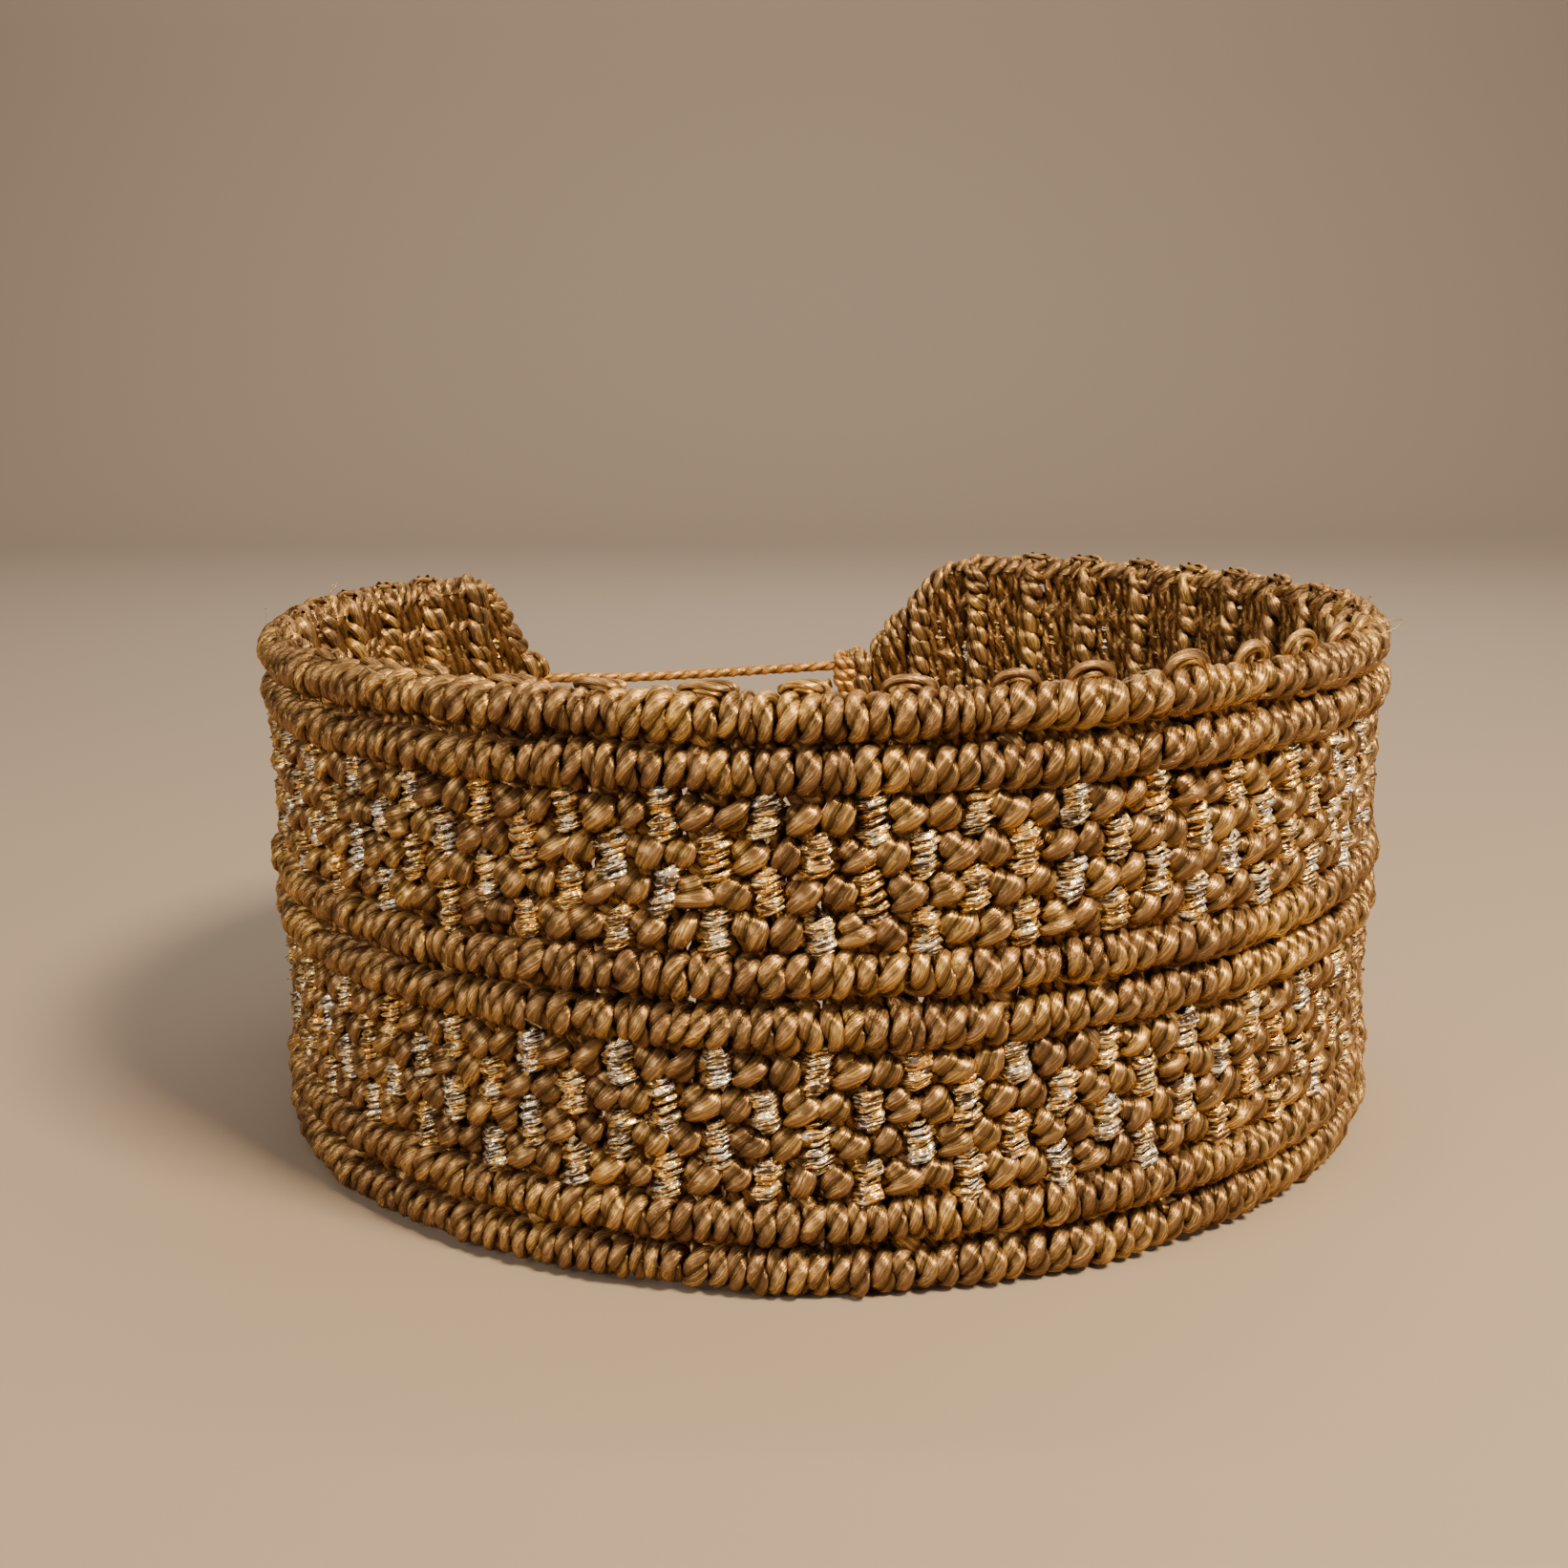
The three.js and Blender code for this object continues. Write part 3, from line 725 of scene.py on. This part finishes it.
def add_rows():
    """Four rows of knots in each band: a lead cord, near black as painted shade, brown knots in twos over
    it, and a metal stack at each step of the pattern. Rows lie half a step apart from their neighbours."""
    for band in ("upper", "lower"):
        for row in range(4):
            node = f"{band}_row_{row + 1}"
            z = middle_z(f"{node}_knots")
            reach = z + math.copysign(ROW_HALF_HEIGHT, z - MID_Z)
            start = clear_of_end(LEFT_END, reach)
            finish = BAND_LENGTH - clear_of_end(RIGHT_END, reach)
            loops, stacks = [], []
            shift = ROW_PHASE[band] + 0.5 * (row % 2)
            for step_at in (shift + np.arange(-1, finish / PATTERN_STEP)) * PATTERN_STEP:
                if start + METAL_MARGIN < step_at < finish - METAL_MARGIN:
                    stacks.append((step_at + jitter(0.07), z + jitter(0.08),
                                   METAL_HALF["tall"] * (1 + jitter(0.1)), METAL_HALF["wide"],
                                   jitter(0.12)))
                for knot in (KNOT_ROUND, KNOT_LEANING):
                    w = step_at + knot["at"] + jitter(0.06)
                    if start + KNOT_MARGIN < w < finish - KNOT_MARGIN:
                        grow = 1 + 0.06 * rng.standard_normal(3)
                        loops.append((w, z + jitter(0.05),
                                      knot["lean"] + jitter(0.08), knot["wide"] * grow[0],
                                      knot["tall"] * grow[1], KNOT_HALF_DEPTH * grow[2],
                                      knot["ply"] + jitter(0.35),
                                      knot["twist"] + jitter(0.35)))
            attach(knot_loops(f"{node}_brown_knots", loops, BROWN), "brown_cord", f"{node}_knots")
            attach(metal_stacks(f"{node}_metal_stacks", stacks, METAL), "metallic_thread",
                   f"{node}_metallic_thread")
            lead = Run([(start, z), (finish, z)])
            cord = laid_cords(f"{node}_lead_cord", [lead], CORE_RADIUS, CORE_PAINTED_SHADE, offset=-0.2)
            attach(cord, "dark_core_cord")


def add_knotting_cords():
    """The knotting cords, which run up the inside of the band from edge to edge: at each step of the pattern
    some are bound into a wound column, and others lie deeper, in the valley between two columns."""
    columns, valley = [], []
    for step_at in np.arange(-1, BAND_LENGTH / PATTERN_STEP) * PATTERN_STEP:
        w = step_at + COLUMN_AT
        if COLUMN_MARGIN < w < BAND_LENGTH - COLUMN_MARGIN:
            run = Run([(w, MID_Z - edge_rise(w) - 0.3), (w, MID_Z + edge_rise(w) + 0.3)])
            column = wound_cord("column", run, COLUMN_RADIUS, BROWN, pitch=COLUMN_PITCH,
                                offset=-COLUMN_SET_IN, inner_depth=1.0, sway=0.16, per_turn=10, around=8)
            columns.append(column)
        for aside in VALLEY_AT:
            w = step_at + aside
            if VALLEY_MARGIN < w < BAND_LENGTH - VALLEY_MARGIN:
                valley.append(Run([(w, MID_Z - edge_rise(w)), (w, MID_Z + edge_rise(w))]))
    attach(joined("wound_columns", columns), "brown_cord")
    # The valley cords are brown knotting cord drawn in the darker copy: painted shade.
    cords = laid_cords("valley_cords", valley, VALLEY_RADIUS, VALLEY_PAINTED_SHADE, offset=-VALLEY_SET_IN, ripple=0.03)
    attach(cords, "dark_core_cord")


def add_picots():
    """Two nested arches at each step of the pattern, tallest where prominence, a bell curve along the band,
    is greatest."""
    places = []
    for step_at in np.arange(2, BAND_LENGTH / PATTERN_STEP - 3) * PATTERN_STEP:
        w = step_at + COLUMN_AT + jitter(0.25)
        prominence = math.exp(-((w / BAND_LENGTH - PICOT_PEAK) / PICOT_SPREAD) ** 2)
        half = 0.95 + jitter(0.08)
        height = 0.05 + 0.55 * prominence + 0.08 * rng.random()
        places += [(w, half, height, 0.33), (w + 0.08, half - 0.42, height - 0.3, 0.3)]
    attach(picot_loops("top_edge_picots", places, BROWN), "brown_cord")


def add_ends():
    """The bound edge of each end, and the knots at the four corners where the outer ribs are tied off."""
    corners = []
    for name, end, place, inwards in (("left", LEFT_END, 0.0, 1), ("right", RIGHT_END, BAND_LENGTH, -1)):
        rise = end["rise"] - BINDING_DROP
        bound = Run([(place, MID_Z - rise), (place, MID_Z + rise)])
        winding = wound_cord(f"{name}_end_wound_cord", bound, BINDING_RADIUS, BROWN, offset=-WINDING_SET_IN,
                             inner_depth=1.0, sway=0.03)
        attach(winding, "brown_cord", f"{name}_end_binding")
        for way in (-1, 1):
            for aside, tall in CORNER_KNOTS:
                w = place + inwards * (end["tail"] * 0.3 + aside)
                z = MID_Z + way * (end["rise"] - 0.4)
                corners.append((w, z, 0.15 * inwards * way, 0.52, tall, 1.2, rng.random() * 6, 0.5))
    attach(knot_loops("end_corner_knots", corners, BROWN, 0.5), "brown_cord")
    for band, level in TIE_Z.items():
        root = Run([(BAND_LENGTH, level - 1.3), (BAND_LENGTH, level + 1.1)])
        attach(wound_cord(f"{band}_tie_root", root, TIE_ROOT_RADIUS, TIE, pitch=0.8, offset=-WINDING_SET_IN,
                          inner_depth=1.0, sway=0.0), "tie_cord")


def add_stray_fibres():
    """Loose filaments: rather more than half of them stand on the top edge, and the rest on the front."""
    places = []
    for _ in range(FIBRE_COUNT):
        top = rng.random() < 0.55
        w = BAND_LENGTH * (0.08 + 0.84 * rng.random())
        z = RIB_Z[0] + 0.9 if top else 0.9 + 24 * rng.random() * rng.random()
        reach = (0.3 + 0.7 * rng.random()) * (1 if top else 0.6)
        places.append((w, 0.9, z, reach, jitter(1.1), jitter(1.6)))
    attach(stray_fibres("stray_fibres", places, FIBRE), "brown_cord")


add_ribs()
add_rows()
add_knotting_cords()
add_picots()
add_ends()
add_stray_fibres()


# ---------------------------------------------------------------- ties

def around(angle, radius, z):
    """A point at an angle in degrees from +Y towards +X and a distance from the ring's axis."""
    turn = math.radians(angle)
    return (radius * math.sin(turn) + AXIS[0], radius * math.cos(turn) + AXIS[1], z)


def add_strand(band, hang):
    """One strand of a tie, from the right end's bound edge to its stopper knot: across the gap, through the
    eyelet and the sliding knot, and along the outside of the left end."""
    level = TIE_Z[band]
    name = f"{band}_{hang}"
    split = STRAND_SPLIT if hang == "taut" else -STRAND_SPLIT
    route = [(x, y, level + rise) for x, y, rise in ACROSS_GAP[band, hang]]
    route += [around(angle, TAIL_TRACK, level + split) for angle in TAIL_ANGLES]
    route += [around(angle, radius, level + rise) for angle, radius, rise in DROOP[hang]]
    line = smooth_route(route)
    strand = tube(f"{name}_tie_strand", line[None], STRAND_RADIUS, TIE, ply_period=STRAND_PLY_PERIOD)
    piece = attach(strand, "tie_cord", f"{name}_strand")
    angle, radius, rise = STOPPER[hang]
    centre = np.array(around(angle, radius, level + rise))
    along = unit(centre - line[-1])
    stopper = tied_stopper(f"{name}_tied_stopper", centre, along, TIE)
    knot = attach(stopper, "tie_cord", f"{name}_stopper_knot")
    tip = [centre + along * 0.5, centre + along * 1.3 - [0, 0, 0.15], centre + along * 2.0 - [0, 0, 0.5]]
    cut = tube(f"{name}_cut_tip", smooth_route(tip)[None], STRAND_RADIUS, TIE, ply_period=STRAND_PLY_PERIOD)
    tail = attach(cut, "tie_cord")


def add_closure(band):
    """A tie's eyelet on the left end, two loops of cord, and its sliding knot, a coil round both strands."""
    theta = np.linspace(0, 2 * math.pi, 28, endpoint=False)[None, :].repeat(2, 0)
    angles = EYELET["angle"] + np.array([[0.45], [-0.45]]) + 0 * theta
    loops = round_the_tie(f"{band}_eyelet_loops", band, angles, theta, EYELET["width"], EYELET["height"],
                          BROWN, closed=True)
    attach(loops, "brown_cord", f"{band}_eyelet")
    turns, inset = 6, 0.75
    at = np.linspace(0, turns, turns * 26 + 1)[None, :]
    angles = SLIDER["from"] - inset + (SLIDER["to"] - SLIDER["from"] + 2 * inset) * at / turns
    coil = round_the_tie(f"{band}_sliding_knot_coil", band, angles, 2 * math.pi * at, SLIDER["width"],
                         SLIDER["height"], BROWN)
    attach(coil, "brown_cord", f"{band}_sliding_knot", body=f"{band}_slider")


for tie in ("upper", "lower"):
    add_closure(tie)
    for hang in ("taut", "slack"):
        add_strand(tie, hang)


# ---------------------------------------------------------------- stage

# The view's own frame is the row frame turned about +Z, and its camera looks along +Y and a little down
VIEW_TURN = math.radians(19.6)
EYE = (0.0, -102.5, 39.7)
PITCH, YAW, ROLL = 0.2221, -0.0230, -0.0118
SENSOR_WIDTH = 36.0
FOCAL_LENGTH = 41.11279

# The floor, in metres: how far it reaches, where it curves up into a wall, and how tall the wall is
FLOOR_REACH = 2.0
WALL_AT = 0.35
WALL_CURVE = 0.15
WALL_TOP = 0.7

# Lights in the view's own frame: place and aim in mm, size in metres, watts and colour
LIGHTS = {
    "key": ((92, -100, 190), (0, 0, 10), (0.05, 0.05), 1.6, (1.0, 0.82, 0.54)),
    "side": ((220, -70, 90), (0, 0, 10), (0.1, 0.1), 0.16, (1.0, 0.94, 0.85)),
    "fill": ((-200, -160, 120), (0, 0, 10), (0.15, 0.15), 0.62, (1.0, 0.92, 0.8)),
    "back": ((40, 220, 160), (0, 0, 20), (0.25, 0.1), 0.28, (1.0, 0.94, 0.86)),
    "wall": ((0, 150, 420), (0, 480, 160), (0.6, 0.1), 3.2, (1.0, 0.94, 0.85)),
}


def turned(vector):
    """A vector of the view's own frame, turned clockwise about +Z into the row frame."""
    x, y, z = vector
    c, s = math.cos(VIEW_TURN), math.sin(VIEW_TURN)
    return np.array([x * c + y * s, -x * s + y * c, z])


def placed(axes):
    """The rotation whose own x, y and z axes are the three given."""
    return Matrix(np.stack(axes, 1).tolist()).to_quaternion()


def add_camera():
    forward = np.array([math.sin(YAW) * math.cos(PITCH), math.cos(YAW) * math.cos(PITCH), -math.sin(PITCH)])
    right = np.array([math.cos(YAW), -math.sin(YAW), 0.0])
    up = np.cross(right, forward)
    c, s = math.cos(ROLL), math.sin(ROLL)
    right, up = c * right + s * up, -s * right + c * up
    data = bpy.data.cameras.new("camera")
    data.sensor_width = SENSOR_WIDTH
    data.lens = FOCAL_LENGTH
    data.clip_start = 0.001
    camera = bpy.data.objects.new("camera", data)
    place = turned(EYE) + [AXIS[0], AXIS[1], 0.0]
    columns = [turned(right), turned(up), -turned(forward)]
    camera.matrix_world = Matrix.LocRotScale(place * MM, placed(columns), None)
    bpy.context.scene.collection.objects.link(camera)
    bpy.context.scene.camera = camera


def add_light(name, place, aim, size, watts, colour):
    data = bpy.data.lights.new(name, "AREA")
    data.shape = "RECTANGLE"
    data.size, data.size_y = size
    data.energy = watts
    data.color = colour
    light = bpy.data.objects.new(name, data)
    place = turned(place) * MM
    aim = turned(aim) * MM
    back = unit(place - aim)
    side = unit(np.cross([0, 0, 1.0], back))
    up = np.cross(back, side)
    light.matrix_world = Matrix.LocRotScale(place, placed([side, up, back]), None)
    bpy.context.scene.collection.objects.link(light)


def add_stage():
    """The floor and wall, one sheet whose profile is a flat, a quarter circle and an upright, then the
    surround and the lights."""
    profile = [(-FLOOR_REACH, 0.0), (WALL_AT, 0.0)]
    for turn in np.linspace(0, math.pi / 2, 13)[1:]:
        profile.append((WALL_AT + WALL_CURVE * math.sin(turn), WALL_CURVE * (1 - math.cos(turn))))
    profile.append((WALL_AT + WALL_CURVE, WALL_TOP))
    across = (-2 * FLOOR_REACH, 2 * FLOOR_REACH)
    points = [turned((x, y, z)) for y, z in profile for x in across]
    faces = [(2 * i, 2 * i + 1, 2 * i + 3, 2 * i + 2) for i in range(len(profile) - 1)]
    mesh = bpy.data.meshes.new("floor")
    mesh.from_pydata([tuple(p) for p in points], [], faces)
    mesh.polygons.foreach_set("use_smooth", [True] * len(faces))
    nodes = Nodes("pale_floor")
    nodes.shade(Base_Color=(0.22, 0.168, 0.125, 1.0), Roughness=0.9)
    mesh.materials.append(nodes.material)
    floor = bpy.data.objects.new("floor", mesh)
    bpy.context.scene.collection.objects.link(floor)
    world = bpy.data.worlds.new("soft_surround")
    world.use_nodes = True
    surround = world.node_tree.nodes["Background"]
    surround.inputs["Color"].default_value = (0.9, 0.86, 0.8, 1.0)
    surround.inputs["Strength"].default_value = 0.19
    bpy.context.scene.world = world
    for name, setting in LIGHTS.items():
        add_light(name, *setting)


add_camera()
add_stage()
